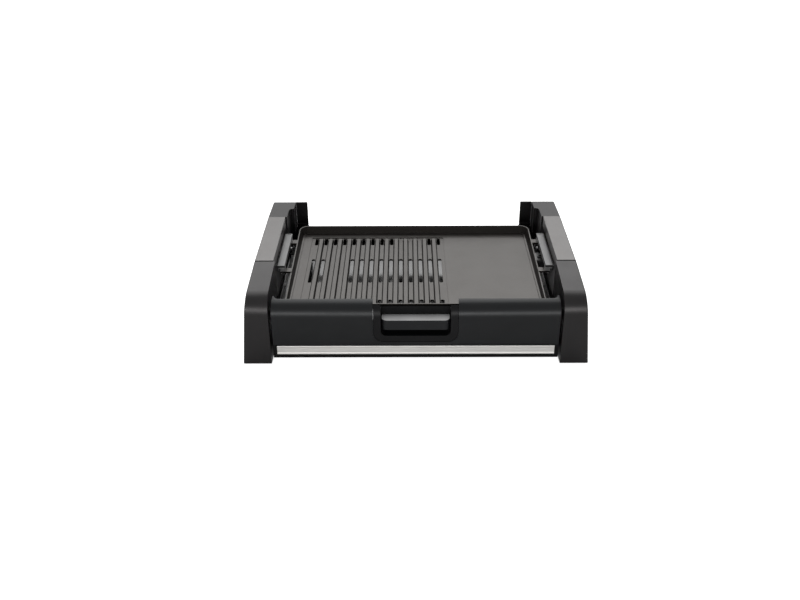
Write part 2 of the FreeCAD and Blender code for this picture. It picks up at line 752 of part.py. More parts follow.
# Rear panel between the casings, with an ear at each end
ear_out = wing_inner - run_gap
ear_in = ear_out - ear_wide
rear_half = casing_inner - seat_gap
rear_foot = pan_floor
ear_top = rear_crown - ear_set_down
rear = body_of("rear_panel")
pad(rear, "sheet", "Y", panel_face, panel_back, [
    (-rear_half, rear_foot), (rear_half, rear_foot), (rear_half, rear_panel_top), (ear_out, rear_panel_top),
    (ear_out, ear_top), (ear_in, ear_top), (ear_in, rear_panel_top, ear_fillet),
    (-ear_in, rear_panel_top, ear_fillet), (-ear_in, ear_top), (-ear_out, ear_top),
    (-ear_out, rear_panel_top), (-rear_half, rear_panel_top)])
for side, low, high in (("left", -ear_out, -ear_in), ("right", ear_in, ear_out)):
    pad(rear, side + "_ledge", "Z", ledge_top - ear_ledge_thick, ledge_top,
        box(low, high, panel_face - ear_ledge, panel_face + past))
cut(rear, "screw_pilots", "Y", panel_face - past, panel_back - pilot_floor,
    *[circle(side * x, panel_screw_z, hole) for side in (-1, 1) for x in panel_screw_x])
screws("rear_panel_screws", both_sides(
    [("+Y", x, pan_back - sheet_thick, panel_screw_z) for x in panel_screw_x]), sheet_thick + rear_screw_bite)

# Drawer front panel: flat face, rolled top, side returns and a notch for the handle
face = front + face_set_back
panel_in = face + panel_wall
top_under = panel_top - panel_wall
top_edge = face + panel_bend + top_flat
panel = body_of("drawer_front_panel")
pad(panel, "sheet", "X", -panel_half, panel_half, [
    (face, panel_foot), (face, panel_top, panel_bend), (top_edge, panel_top), (top_edge, top_under),
    (panel_in, top_under, panel_bend - panel_wall), (panel_in, panel_foot)])
return_end = face + panel_return
for side, low, high in (("left", -panel_half, panel_wall - panel_half),
                        ("right", panel_half - panel_wall, panel_half)):
    pad(panel, side + "_return", "X", low, high, [
        (face + panel_wall / 2, panel_foot), (return_end, panel_foot), (return_end, panel_top),
        (face + panel_bend, panel_top), (face + panel_wall / 2, panel_top - panel_bend)])
for side in (-1, 1):
    inner_x = side * (panel_half - panel_wall)
    pad(panel, ("left" if side < 0 else "right") + "_web", "Z", top_under, panel_top, [
        (side * (panel_half - panel_wall / 2), top_edge - lug_over),
        (side * (panel_half - panel_wall / 2), return_end),
        (inner_x, return_end), (inner_x, top_edge, web_round), (inner_x - side * web_round * 1.5, top_edge),
        (inner_x - side * web_round * 1.5, top_edge - lug_over)])
lug_x = [lug_near, lug_far]
lug_foot = strip_foot + lug_over
rail_face = face + rail_set_back
rail_back = rail_face + rail_deep
for side in (-1, 1):
    for x in lug_x:
        tag = ("left_" if side < 0 else "right_") + ("near" if x is lug_near else "far")
        pad(panel, tag + "_lug", "X", side * x - lug_half, side * x + lug_half, [
            (panel_in - past, panel_foot + lug_over * 2), (panel_in - past, panel_foot + lug_rise),
            (rail_back + lug_over, panel_foot + lug_over), (rail_back + lug_over, lug_foot),
            (rail_back + seat_gap, lug_foot), (rail_back + seat_gap, panel_foot + lug_over * 2)])
lug_screw_z = lug_foot + boss_side / 2
cut(panel, "lug_holes", "Y", rail_back - past, rail_back + lug_over + past,
    *[circle(side * x, lug_screw_z, hole) for side in (-1, 1) for x in lug_x])
cut(panel, "notch", "Y", face - past, return_end + past, [
    (-notch_half, notch_foot, notch_round), (notch_half, notch_foot, notch_round),
    (notch_half, panel_top + past), (-notch_half, panel_top + past)])
surround_screw = (notch_half + flange_reach / 2, opening_foot + flange_low + flange_tall / 2)
cut(panel, "surround_pilots", "Y", face + panel_wall - surround_bite, panel_in + past,
    *[circle(side * surround_screw[0], surround_screw[1], hole) for side in (-1, 1)])
screws("panel_screws", both_sides([
    ("-Y", x, rail_back + lug_over, lug_screw_z) for x in lug_x]), panel_screw_long)

# Steel strip with rolled edges along the foot of the drawer
strip = body_of("steel_trim_strip")
strip_top = strip_foot + strip_tall
strip_face = face - strip_proud
strip_back = strip_face + strip_thick
strip_dish = strip_face + strip_thick / 2
pad(strip, "sheet", "X", -strip_half, strip_half, [
    (strip_face, strip_foot, strip_round), (strip_back, strip_foot), (strip_back, strip_top),
    (strip_face, strip_top, strip_round), (strip_face, strip_top - strip_roll * 2, strip_round),
    (strip_dish, strip_top - strip_roll * 3), (strip_dish, strip_foot + strip_roll * 3),
    (strip_face, strip_foot + strip_roll * 2, strip_round)])

# Drawer frame: front rail behind the strip, side beams with wings, rear beam
frame = body_of("drawer_frame")
rail_half = panel_half + rail_set_back
rail_top = panel_foot - seat_gap
pad(frame, "front_rail", "X", -rail_half, rail_half, [
    (rail_face, rail_foot), (rail_back, rail_foot), (rail_back, rail_top), (strip_back + seat_gap, rail_top),
    (strip_back + seat_gap, strip_foot - strip_gap), (rail_face, strip_foot - strip_gap)])
for side, low, high in (("left", -rail_half, -strip_half - strip_gap),
                        ("right", strip_half + strip_gap, rail_half)):
    pad(frame, side + "_end", "X", low, high, box(rail_face, rail_back, rail_foot, rail_top))
drawer_back = front + drawer_long
wing_low = channel_low + seat_gap
for side, low, high in (("left", -beam_inner - beam_thick, -beam_inner),
                        ("right", beam_inner, beam_inner + beam_thick)):
    pad(frame, side + "_beam", "X", low, high, box(rail_back - past, drawer_back, beam_foot, beam_top))
wing_out = runner_web - run_gap * 2
for side, low, high in (("left", -wing_out, -beam_inner - past), ("right", beam_inner + past, wing_out)):
    pad(frame, side + "_wing", "Z", wing_low, wing_low + wing_thick,
        box(low, high, runner_front + wing_thick, drawer_back))
pad(frame, "rear_beam", "Y", drawer_back - beam_thick, drawer_back,
    box(-beam_inner - past, beam_inner + past, beam_foot, beam_top - rear_beam_drop))
cut(frame, "screw_pilots", "Y", rail_face + strip_thick, rail_back + past,
    *[circle(side * x, lug_screw_z, hole) for side in (-1, 1) for x in lug_x])

# Drip tray that hangs by its lip on the beams
tray = body_of("drip_tray")
tray_front = rail_back + tray_front_gap
tray_back = drawer_back - beam_thick - tray_back_gap
tray_top = beam_top + tray_thick
pad(tray, "bowl", "Z", tray_floor, tray_top, box(-tray_half, tray_half, tray_front, tray_back, tray_round))
pad(tray, "lip", "Z", beam_top, tray_top, box(
    -tray_half - tray_lip, tray_half + tray_lip, tray_front - tray_lip, tray_back + tray_back_gap - past,
    tray_round + tray_lip / 2))
cut(tray, "inside", "Z", tray_floor + tray_thick, tray_top + past, box(
    tray_thick - tray_half, tray_half - tray_thick, tray_front + tray_thick, tray_back - tray_thick,
    tray_round - tray_thick))

# Handle surround in the notch and the grip shelf inside it
surround = body_of("handle_surround")
surround_half = notch_half - surround_gap
surround_foot = notch_foot + surround_gap
surround_face = face + surround_set_in
grip_back = surround_face + grip_deep
surround_back = grip_back + panel_wall
arm_back = face + arm_deep
flange_back = panel_in + panel_wall
pad(surround, "block", "X", -surround_half, surround_half, [
    (surround_face, surround_foot), (surround_face, panel_top - surround_set_in, panel_bend - surround_set_in),
    (surround_back, panel_top - surround_set_in), (surround_back, surround_foot)])


def on_lower_corner(edge):
    """The two edges from front to back at the foot of the surround."""
    return max(edge.ZLength, edge.XLength) < 0.01 and edge.ZMax < surround_foot.value + seat_gap.value


round_edges(surround, "lower_corners", notch_round - surround_gap, on_lower_corner)
cut(surround, "hand_hole", "Y", face - past, grip_back, [
    (-opening_half, opening_foot, opening_round), (opening_half, opening_foot, opening_round),
    (opening_half, panel_top + far_past), (-opening_half, panel_top + far_past)])
cut(surround, "open_back", "X", -surround_half - past, surround_half + past, [
    (arm_back, back_wall_top), (surround_back + past, back_wall_top),
    (surround_back + past, panel_top + far_past), (arm_back, panel_top + far_past)])
for side in (-1, 1):
    pad(surround, ("left" if side < 0 else "right") + "_flange", "X",
        *across(side, surround_half - past, surround_half + flange_reach),
        box(panel_in + seat_gap, flange_back, opening_foot + flange_low,
            opening_foot + flange_low + flange_tall))
cut(surround, "flange_holes", "Y", panel_in - past, flange_back + past,
    *[circle(side * surround_screw[0], surround_screw[1], hole) for side in (-1, 1)])
grip_screw = (grip_screw_x, (grip_foot + grip_top) / 2)
cut(surround, "grip_holes", "Y", grip_back - past, surround_back + past,
    *[circle(side * grip_screw[0], grip_screw[1], hole) for side in (-1, 1)])
screws("surround_screws", both_sides([("-Y", surround_screw[0], flange_back, surround_screw[1])]),
       surround_screw_long)

grip = body_of("drawer_grip")
grip_half = opening_half - grip_gap
pad(grip, "shelf", "Z", grip_foot, grip_top, [
    (-grip_half, grip_back - seat_gap), (-grip_half, surround_face, grip_round),
    (grip_half, surround_face, grip_round), (grip_half, grip_back - seat_gap)])
hollow_half = grip_half - grip_wall
cut(grip, "finger_hollow", "Z", grip_foot - past, grip_top - grip_wall, [
    (-hollow_half, grip_back - grip_rib), (-hollow_half, surround_face + grip_wall, grip_round - grip_wall),
    (hollow_half, surround_face + grip_wall, grip_round - grip_wall), (hollow_half, grip_back - grip_rib)])
inlay_half = grip_half - inlay_edge
inlay_outline = [
    (-inlay_half, grip_back - inlay_edge), (-inlay_half, surround_face + inlay_edge, grip_round - inlay_edge),
    (inlay_half, surround_face + inlay_edge, grip_round - inlay_edge), (inlay_half, grip_back - inlay_edge)]
cut(grip, "inlay_seat", "Z", grip_top - inlay_thick, grip_top + past, inlay_outline)
cut(grip, "screw_pilots", "Y", grip_back - grip_rib - past, grip_back + past,
    *[circle(side * grip_screw[0], grip_screw[1], hole) for side in (-1, 1)])
screws("grip_screws", both_sides([("-Y", grip_screw[0], surround_back, grip_screw[1])]), grip_screw_long)

# Steel inlay let into the top of the grip
inlay = body_of("grip_inlay")
pad(inlay, "sheet", "Z", grip_top - inlay_thick, grip_top, inlay_outline)

# Grill plate: slanted rim that drops towards the front, floor with slots and ribs
slant_run = Size("tan(" + rim_slant.text + " * 1 deg)", math.tan(math.radians(rim_slant.value)))
wall_tall = rim_top - plate_under
low_half = plate_half - slant_run * wall_tall
plate = body_of("grill_plate")
pad(plate, "body", "Z", plate_under, rim_top, box(
    -low_half, low_half, plate_front + slant_run * (wall_tall - rim_drop), plate_back - slant_run * wall_tall,
    plate_round - slant_run * wall_tall), taper=rim_slant)
well_foot = plate_floor + step_tall
well_deep = rim_top - well_foot
well_half = plate_half - rim_wide - slant_run * well_deep
well_front = plate_front + rim_wide + slant_run * (well_deep - rim_drop)
well_back = plate_back - rim_wide - slant_run * well_deep
well_round = plate_round - rim_wide - slant_run * well_deep
cut(plate, "well", "Z", well_foot, rim_top + past, box(
    -well_half, well_half, well_front, well_back, well_round), taper=rim_slant)
floor_front = well_front + step_wide
cut(plate, "floor", "Z", plate_floor, well_foot + past / 2, box(
    step_wide - well_half, well_half - step_wide, floor_front, well_back - step_wide, well_round - step_wide))
cut(plate, "rim_slope", "X", -plate_half - far_past, plate_half + far_past, [
    (plate_front - far_past, rim_top - rim_drop), (plate_front, rim_top - rim_drop), (plate_back, rim_top),
    (plate_back + far_past, rim_top), (plate_back + far_past, rim_top + far_past),
    (plate_front - far_past, rim_top + far_past)])
channel_floor = plate_floor - channel_drop
rib_front = floor_front + rib_end_gap
last_channel = first_channel + rib_pitch * rib_count
cut(plate, "recess", "Z", channel_floor, plate_floor + past, box(
    first_channel - recess_side, last_channel + recess_side, rib_front - recess_lead,
    rib_back + recess_over, recess_round))
rib_x = first_channel + rib_pitch / 2
rib = pad(plate, "rib", "Y", rib_front, rib_back, [
    (rib_x - rib_base / 2, channel_floor - channel_drop / 2),
    (rib_x + rib_base / 2, channel_floor - channel_drop / 2),
    (rib_x + rib_crest / 2, channel_floor + rib_tall, rib_round),
    (rib_x - rib_crest / 2, channel_floor + rib_tall, rib_round)])
repeat(plate, rib, "ribs", "X", rib_pitch, rib_count)
slot_rows = [
    ("rear_left", 0, 9, 232, 255.6), ("rear_right", 12, 2, 232, 255.6),
    ("middle_left", 0, 2, 105, 182.5), ("middle_right", 4, 10, 105, 182.5),
    ("front", 0, 14, 34.5, 53)]
for name, channel, count, low, high in slot_rows:
    slot_x = first_channel + rib_pitch * channel
    slot = cut(plate, name + "_slot", "Z", plate_under - past, plate_floor, box(
        slot_x - slot_wide / 2, slot_x + slot_wide / 2, front + low, front + high, slot_wide * 0.48))
    repeat(plate, slot, name + "_slots", "X", rib_pitch, count)
pad(plate, "legs", "Z", support_top + runner_thick + seat_gap, plate_under + past,
    *[circle(side * leg_x, y, leg_radius) for side in (-1, 1) for y in leg_y])
lug_y = [grip_bar_front + lug_wide * 0.65, grip_bar_front + grip_bar_long - lug_wide * 0.5]
lug_spans = [(y - lug_wide / 2, y + lug_wide / 2) for y in lug_y]
for side in (-1, 1):
    tag = "left" if side < 0 else "right"
    pad(plate, tag + "_lugs", "Z", lug_top - lug_thick, lug_top,
        *[box(*across(side, plate_half - lug_root, lug_out), *span) for span in lug_spans])
lug_screw_x = lug_out - screw_head
cut(plate, "lug_holes", "Z", lug_top - lug_thick - past, lug_top + past,
    *[circle(side * lug_screw_x, y, hole) for side in (-1, 1) for y in lug_y])

# Heating element: one bent tube under the plate, its clamps and their screws
tube_z = plate_under - seat_gap - tube_radius
tube_low = tube_z - tube_radius
near_y = terminal_y - terminal_spread / 2
far_y = terminal_y + terminal_spread / 2
step = tube_back - far_y
tube = body_of("heating_element")
path = sketch_on(tube, "path", "Z", tube_z, [[
    (tube_end, far_y), (tube_end - tube_bend, far_y, tube_bend * 0.7),
    (tube_end - tube_bend - step, tube_back, tube_bend * 0.7), (tube_left, tube_back, tube_bend),
    (tube_left, tube_front, tube_bend), (tube_right, tube_front, tube_bend), (tube_right, near_y, tube_bend),
    (tube_end, near_y)]], closed=False)
sweep = tube.newObject("PartDesign::AdditivePipe", "sweep")
sweep.Profile = sketch_on(tube, "section", "X", tube_end, [circle(far_y, tube_z, tube_radius)])
sweep.Spine = (path, [])
clamp_top = tube_low - seat_gap
clamp_x = [-80, 20, 100]
clamp_places = [(x, y, side) for x in clamp_x for y, side in ((tube_front, -1), (tube_back, 1))]
clamp_screws_at = [(as_size(x), y + clamp_reach * side) for x, y, side in clamp_places]
pad(plate, "clamp_bosses", "Z", tube_low, plate_under + past,
    *[circle(x, y, clamp_boss) for x, y in clamp_screws_at])
cut(plate, "clamp_pilots", "Z", tube_low - past, plate_under + past,
    *[circle(x, y, hole) for x, y in clamp_screws_at])


def block(name, x_low, x_high, y_low, y_high, z_low, z_high):
    """A plain block between two corners."""
    solid = doc.addObject("Part::Box", name)
    low = [as_size(value) for value in (x_low, y_low, z_low)]
    high = [as_size(value) for value in (x_high, y_high, z_high)]
    for side_name, start, end in zip(("Length", "Width", "Height"), low, high):
        bind(solid, side_name, end - start)
    solid.Placement.Base = FreeCAD.Vector(*[value.value for value in low])
    for letter, value in zip("xyz", low):
        solid.setExpression(".Placement.Base." + letter, value.text)
    return solid


def clamp(name, x, tube_y, side):
    """A strip under the tube with an upstand beyond it and a screw hole."""
    far = tube_y - (tube_radius + run_gap + clamp_thick) * side
    near = tube_y + (clamp_reach + clamp_wide / 2) * side
    spans = sorted([far, near], key=lambda length: length.value)
    lip = sorted([far, far + clamp_thick * side], key=lambda length: length.value)
    strip = block(name + "_strip", x - clamp_wide / 2, x + clamp_wide / 2, spans[0], spans[1],
                  clamp_top - clamp_thick, clamp_top)
    upstand = block(name + "_upstand", x - clamp_wide / 2, x + clamp_wide / 2, lip[0], lip[1],
                    clamp_top - clamp_thick, clamp_top + tube_radius)
    joined = doc.addObject("Part::MultiFuse", name + "_bent")
    joined.Shapes = [strip, upstand]
    drilled = doc.addObject("Part::Cut", name)
    drilled.Base = joined
    under = (x, tube_y + clamp_reach * side, clamp_top - clamp_thick - past)
    drilled.Tool = cylinder(name + "_hole", "+Z", under, hole, clamp_thick + past * 2)
    return drilled


group_node("element_clamps", [clamp("clamp_" + str(number), as_size(x), y, side)
                              for number, (x, y, side) in enumerate(clamp_places)])
screws("clamp_screws", [("+Z", x, y, clamp_top - clamp_thick) for x, y in clamp_screws_at],
       clamp_thick + clamp_screw_bite)

# Terminal shroud on the right, with the contact pins and the probe tube
shroud = body_of("terminal_shroud")
pad(shroud, "block", "X", shroud_in, shroud_out,
    box(terminal_y - shroud_half, terminal_y + shroud_half, shroud_foot, shroud_top, shroud_round))
for tag, side in (("front", -1), ("rear", 1)):
    inner = terminal_y + (shroud_half - shroud_wall) * side
    spans = sorted([inner, inner + (ear_span + shroud_wall) * side], key=lambda length: length.value)
    pad(shroud, tag + "_ear", "Z", plate_under - seat_gap - shroud_wall, plate_under - seat_gap,
        box(shroud_in - ear_reach, shroud_in + shroud_wall, spans[0], spans[1]))
cut(shroud, "mouth", "X", shroud_in + shroud_wall, shroud_out + past,
    box(terminal_y - shroud_half + shroud_wall, terminal_y + shroud_half - shroud_wall,
        shroud_foot + shroud_wall, shroud_top - shroud_wall, shroud_round - past))
cut(shroud, "passages", "X", shroud_in - past, shroud_in + shroud_wall + past,
    circle(near_y, tube_z, contact_radius + screw_gap), circle(far_y, tube_z, contact_radius + screw_gap),
    circle(terminal_y, tube_z, probe_radius + screw_gap))
ring_x = shroud_in + ring_in
ring_y = terminal_y - ring_front
pad(shroud, "ring", "Z", shroud_top - past, shroud_top + shroud_wall, circle(ring_x, ring_y, ring_radius))
cut(shroud, "ring_hollow", "Z", shroud_top - past * 0.8, shroud_top + shroud_wall + past,
    circle(ring_x, ring_y, ring_hole))
shroud_screw_x = shroud_in - ear_reach + ear_screw_in
shroud_screw_y = [terminal_y + (shroud_half + ear_span / 2) * side for side in (-1, 1)]
cut(shroud, "ear_holes", "Z", plate_under - shroud_wall * 2, plate_under,
    *[circle(shroud_screw_x, y, hole) for y in shroud_screw_y])
cut(plate, "shroud_pilots", "Z", plate_under - past, plate_under + shroud_screw_bite,
    *[circle(shroud_screw_x, y, hole) for y in shroud_screw_y])
screws("shroud_screws", [("+Z", shroud_screw_x, y, plate_under - seat_gap - shroud_wall)
                         for y in shroud_screw_y], shroud_wall + shroud_screw_bite)
group_node("terminal_pins", [cylinder("terminal_pin_" + tag, "+X", (tube_end + seat_gap, y, tube_z),
                                      contact_radius, shroud_out - tube_end - pin_end_gap)
                             for tag, y in (("front", near_y), ("rear", far_y))])
probe = body_of("probe_tube")
pad(probe, "tube", "X", shroud_in - probe_root, shroud_out - shroud_wall,
    circle(terminal_y, tube_z, probe_radius), circle(terminal_y, tube_z, probe_bore))

# Brackets and grips at the sides of the grill plate
strap_top = strap_low + strap_thick
bracket = body_of("right_grip_bracket")
grip_bar_back = grip_bar_front + grip_bar_long
pad(bracket, "strap", "Z", strap_low, strap_top, box(grip_bar_inner, strap_out, grip_bar_front, grip_bar_back))
pad(bracket, "legs", "Z", lug_top + seat_gap, strap_low + past,
    *[box(lug_screw_x - screw_head, lug_screw_x + screw_head, *span) for span in lug_spans])
bar_screw_holes = [circle(lug_screw_x, y, hole) for y in lug_y]
cut(bracket, "screw_holes", "Z", lug_top - past, strap_top + past, *bar_screw_holes)
mirror_node(bracket, "left_grip_bracket")
bar = body_of("right_plate_grip")
bar_low = strap_top + seat_gap
pad(bar, "bar", "Y", grip_bar_front, grip_bar_back, [
    (grip_bar_inner, bar_low), (strap_out + run_gap, bar_low), (strap_out + run_gap, bar_foot),
    (grip_bar_outer, bar_foot, bar_round), (grip_bar_outer, grip_bar_top - shoulder_drop, bar_round),
    (grip_bar_outer - shoulder, grip_bar_top, bar_round), (grip_bar_inner, grip_bar_top, bar_round)])
cut(bar, "screw_pilots", "Z", bar_low - past, grip_bar_top - past * 1.5, *bar_screw_holes)
cut(bar, "top_dish", "Z", grip_bar_top - dish_deep, grip_bar_top + past, box(
    grip_bar_inner + dish_edge, grip_bar_outer - shoulder - dish_edge, grip_bar_front + dish_edge,
    grip_bar_back - dish_edge))
mirror_node(bar, "left_plate_grip")
screws("plate_grip_screws", both_sides([
    ("+Z", lug_screw_x, y, lug_top - lug_thick) for y in lug_y]), bar_screw_long)

# See that every object is sound, then write one file for each piece
doc.recompute()
for item in doc.Objects:
    if "Invalid" in item.State or "Error" in item.State:
        raise RuntimeError(item.Label + " is in state " + str(item.State))
    shape = getattr(item, "Shape", None)
    if shape is not None and (shape.isNull() or not shape.isValid()):
        raise RuntimeError(item.Label + " has no sound shape")
for feature in cuts:
    if feature.BaseFeature.Shape.Volume - feature.Shape.Volume < 0.01:
        raise RuntimeError(feature.Label + " cut nothing")
for node in nodes:
    node.Shape.exportStep(os.path.join("parts", node.Label + ".step"))
    print(node.Label, len(node.Shape.Solids), round(node.Shape.Volume / 1000, 2), node.Shape.BoundBox)
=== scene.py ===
import json
import math

import bpy
from mathutils import Matrix, Vector


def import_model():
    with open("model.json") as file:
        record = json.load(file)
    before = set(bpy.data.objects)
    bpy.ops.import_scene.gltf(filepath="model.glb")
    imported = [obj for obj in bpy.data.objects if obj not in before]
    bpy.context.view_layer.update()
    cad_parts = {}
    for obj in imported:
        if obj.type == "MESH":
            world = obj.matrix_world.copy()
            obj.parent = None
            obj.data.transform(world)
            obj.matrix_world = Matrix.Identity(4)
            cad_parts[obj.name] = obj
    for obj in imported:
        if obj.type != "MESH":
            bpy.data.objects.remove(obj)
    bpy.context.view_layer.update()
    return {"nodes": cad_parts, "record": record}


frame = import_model()
MM = 0.001

# Camera, solved from the photograph's edges: millimetres and degrees in the part's frame
CAMERA_AT = Vector((-14.34, -1254.81, 730.13)) * MM
CAMERA_YAW = math.radians(-0.410)
CAMERA_PITCH = math.radians(29.816)
CAMERA_ROLL = math.radians(-0.347)
FOCAL_MM = 40.5
SENSOR_MM = 36.0
CLIP_END = 50

# Light: the world's level on matt surfaces, and the floor's glow to the camera and in reflections
SKY_LEVEL = 0.42
WHITE_LEVEL = 1.0
FLOOR_LIFT = 0.84
GLOSS_LIFT = 0.15
LAMP_AIM = Vector((0, 0, 0.08))

# Floor in metres: its half width, how far it lies below the feet, and the object's outline on it,
# inside which the floor's glow is left out as a painted shadow
FLOOR_REACH = 12
FLOOR_DROP = 0.0002
FOOT_OUTER = 0.250
FOOT_INNER = 0.2088
FOOT_END = 0.1665
PAN_END = 0.146
GLOW_INSIDE = -0.003
GLOW_OUTSIDE = 0.001

# Range of a noise texture's values that is put to use
NOISE_LOW = 0.3
NOISE_HIGH = 0.7

# Edge rounding in millimetres: the radius of each piece that has its own, and of all others.
# A radius below EDGE_FINE gets two segments, a larger one three.
EDGE = {
    "grill_plate": 0.4,
    "steel_trim_strip": 0.12,
    "drip_tray": 0.15,
    "grip_inlay": 0.1,
    "base_pan": 0.15,
    "drawer_front_panel": 0.9,
    "handle_surround": 0.7,
    "drawer_grip": 0.8,
    "right_side_casing": 0.6,
    "left_side_casing": 0.6,
    "right_handle": 0.5,
    "left_handle": 0.5,
    "rear_panel": 0.4,
    "right_plate_grip": 0.35,
    "left_plate_grip": 0.35,
}
EDGE_OTHERS = 0.2
EDGE_FINE = 0.45
EDGE_ANGLE = math.radians(38)
WELD_DISTANCE = 0.000002
FACE_WEIGHT = 100


def place_camera():
    """The camera with the photograph's place, direction, roll and focal length."""
    forward = Vector((math.sin(CAMERA_YAW) * math.cos(CAMERA_PITCH),
                      math.cos(CAMERA_YAW) * math.cos(CAMERA_PITCH),
                      -math.sin(CAMERA_PITCH)))
    level = forward.cross(Vector((0, 0, 1))).normalized()
    rise = level.cross(forward).normalized()
    right = level * math.cos(CAMERA_ROLL) + rise * math.sin(CAMERA_ROLL)
    upward = right.cross(forward)
    data = bpy.data.cameras.new("camera")
    data.lens = FOCAL_MM
    data.sensor_width = SENSOR_MM
    data.clip_end = CLIP_END
    camera = bpy.data.objects.new("camera", data)
    bpy.context.scene.collection.objects.link(camera)
    turn = Matrix((right, upward, -forward)).transposed()
    camera.matrix_world = Matrix.Translation(CAMERA_AT) @ turn.to_4x4()
    bpy.context.scene.camera = camera


place_camera()
bpy.context.scene.view_settings.view_transform = "Standard"


# Material building blocks
def new_material(name):
    """A material with its output alone, ready for a shader."""
    material = bpy.data.materials.new(name)
    material.use_nodes = True
    tree = material.node_tree
    tree.nodes.clear()
    output = tree.nodes.new("ShaderNodeOutputMaterial")
    return material, tree, output


def principled_material(name):
    material, tree, output = new_material(name)
    shader = tree.nodes.new("ShaderNodeBsdfPrincipled")
    tree.links.new(shader.outputs["BSDF"], output.inputs["Surface"])
    return material, tree, shader


def coordinates(tree, stretch=(1, 1, 1)):
    where = tree.nodes.new("ShaderNodeTexCoord")
    mapping = tree.nodes.new("ShaderNodeMapping")
    mapping.inputs["Scale"].default_value = stretch
    tree.links.new(where.outputs["Object"], mapping.inputs["Vector"])
    return mapping.outputs["Vector"]


def noise(tree, vector, scale, detail=2.0, rough=0.5):
    node = tree.nodes.new("ShaderNodeTexNoise")
    node.inputs["Scale"].default_value = scale
    node.inputs["Detail"].default_value = detail
    node.inputs["Roughness"].default_value = rough
    tree.links.new(vector, node.inputs["Vector"])
    return node.outputs["Fac"]


def ramp(tree, factor, stops):
    node = tree.nodes.new("ShaderNodeValToRGB")
    elements = node.color_ramp.elements
    while len(elements) < len(stops):
        elements.new(0.5)
    for element, (position, colour) in zip(elements, stops):
        element.position = position
        element.color = (*colour, 1)
    tree.links.new(factor, node.inputs["Fac"])
    return node.outputs["Color"]


def remap(tree, value, source, target=(0.0, 1.0)):
    """Map a value from the source range onto the target range."""
    node = tree.nodes.new("ShaderNodeMapRange")
    node.inputs["From Min"].default_value, node.inputs["From Max"].default_value = source
    node.inputs["To Min"].default_value, node.inputs["To Max"].default_value = target
    tree.links.new(value, node.inputs["Value"])
    return node.outputs["Result"]


def spread(tree, factor, low, high):
    """Map a noise value onto a range."""
    return remap(tree, factor, (NOISE_LOW, NOISE_HIGH), (low, high))


def scaled(tree, factor, low, high):
    """Map a value from 0 to 1 onto a range."""
    return remap(tree, factor, (0.0, 1.0), (low, high))


def two_tone(tree, factor, colour, dark, pale):
    """A colour that noise varies between a darker and a paler share of it."""
    low = tuple(value * dark for value in colour)
    high = tuple(min(1, value * pale) for value in colour)
    return ramp(tree, factor, [(NOISE_LOW, low), (NOISE_HIGH, high)])


def calculate(tree, operation, first, second=None):
    """One step of arithmetic on a value; the second operand is a value or a number."""
    node = tree.nodes.new("ShaderNodeMath")
    node.operation = operation
    tree.links.new(first, node.inputs[0])
    if isinstance(second, (int, float)):
        node.inputs[1].default_value = second
    elif second is not None:
        tree.links.new(second, node.inputs[1])
    return node.outputs[0]


def facing_up(tree, low, high):
    """1 on faces that look up, 0 on those that look sideways or down."""
    where = tree.nodes.new("ShaderNodeTexCoord")
    split = tree.nodes.new("ShaderNodeSeparateXYZ")
    tree.links.new(where.outputs["Normal"], split.inputs["Vector"])
    return remap(tree, split.outputs["Z"], (low, high))


def bump(tree, height, shader, strength, distance):
    node = tree.nodes.new("ShaderNodeBump")
    node.inputs["Strength"].default_value = strength
    node.inputs["Distance"].default_value = distance
    tree.links.new(height, node.inputs["Height"])
    tree.links.new(node.outputs["Normal"], shader.inputs["Normal"])


def moulded_plastic(name, colour, rough, specular, gloss=(1, 1, 1), grain=1400.0, relief=0.12):
    """Black moulded plastic: fine grain and slow changes of sheen."""
    material, tree, shader = principled_material(name)
    place = coordinates(tree)
    cloud = noise(tree, place, 14.0, 3.0)
    tree.links.new(two_tone(tree, cloud, colour, 0.82, 1.22), shader.inputs["Base Color"])
    sheen = noise(tree, place, 30.0, 4.0)
    tree.links.new(spread(tree, sheen, rough - 0.035, rough + 0.035), shader.inputs["Roughness"])
    bump(tree, noise(tree, place, grain, 3.0, 0.6), shader, relief, 0.00012)
    shader.inputs["Specular IOR Level"].default_value = specular
    shader.inputs["Specular Tint"].default_value = (*gloss, 1)
    return material


def steel(name, colour, rough, stretch=(1, 1, 1), scale=300.0, relief=0.08, tint=0.12):
    """Bare or plated steel; a stretch along an axis turns the noise into brush lines."""
    material, tree, shader = principled_material(name)
    lines = noise(tree, coordinates(tree, stretch), scale, 4.0, 0.65)
    tree.links.new(two_tone(tree, lines, colour, 1 - tint, 1 + tint), shader.inputs["Base Color"])
    tree.links.new(spread(tree, lines, rough - 0.06, rough + 0.06), shader.inputs["Roughness"])
    bump(tree, lines, shader, relief, 0.0001)
    shader.inputs["Metallic"].default_value = 1.0
    return material


def plate_coating():
    """Non-stick coating with a fine speckle, and a painted sheen: level faces reflect more
    strongly than the walls, which stay darker.
    """
    material, tree, shader = principled_material("plate_coating")
    place = coordinates(tree)
    speckle = noise(tree, place, 900.0, 2.0, 0.7)
    base = ramp(tree, speckle, [(0.30, (0.0060, 0.0054, 0.0049)),
                                (0.55, (0.0095, 0.0086, 0.0079)),
                                (0.75, (0.018, 0.0163, 0.0148))])
    tree.links.new(base, shader.inputs["Base Color"])
    # Painted sheen: up-facing faces get a strong reflection, walls and rib flanks a weak one that
    # leaves them dark.
    level = facing_up(tree, 0.55, 0.92)
    tree.links.new(scaled(tree, level, 0.03, 0.38), shader.inputs["Specular IOR Level"])
    sheen = noise(tree, place, 26.0, 4.0)
    tree.links.new(spread(tree, sheen, 0.31, 0.36), shader.inputs["Roughness"])
    bump(tree, noise(tree, place, 1100.0, 3.0, 0.6), shader, 0.2, 0.00015)
    shader.inputs["Specular Tint"].default_value = (1.0, 0.93, 0.86, 1)
    return material


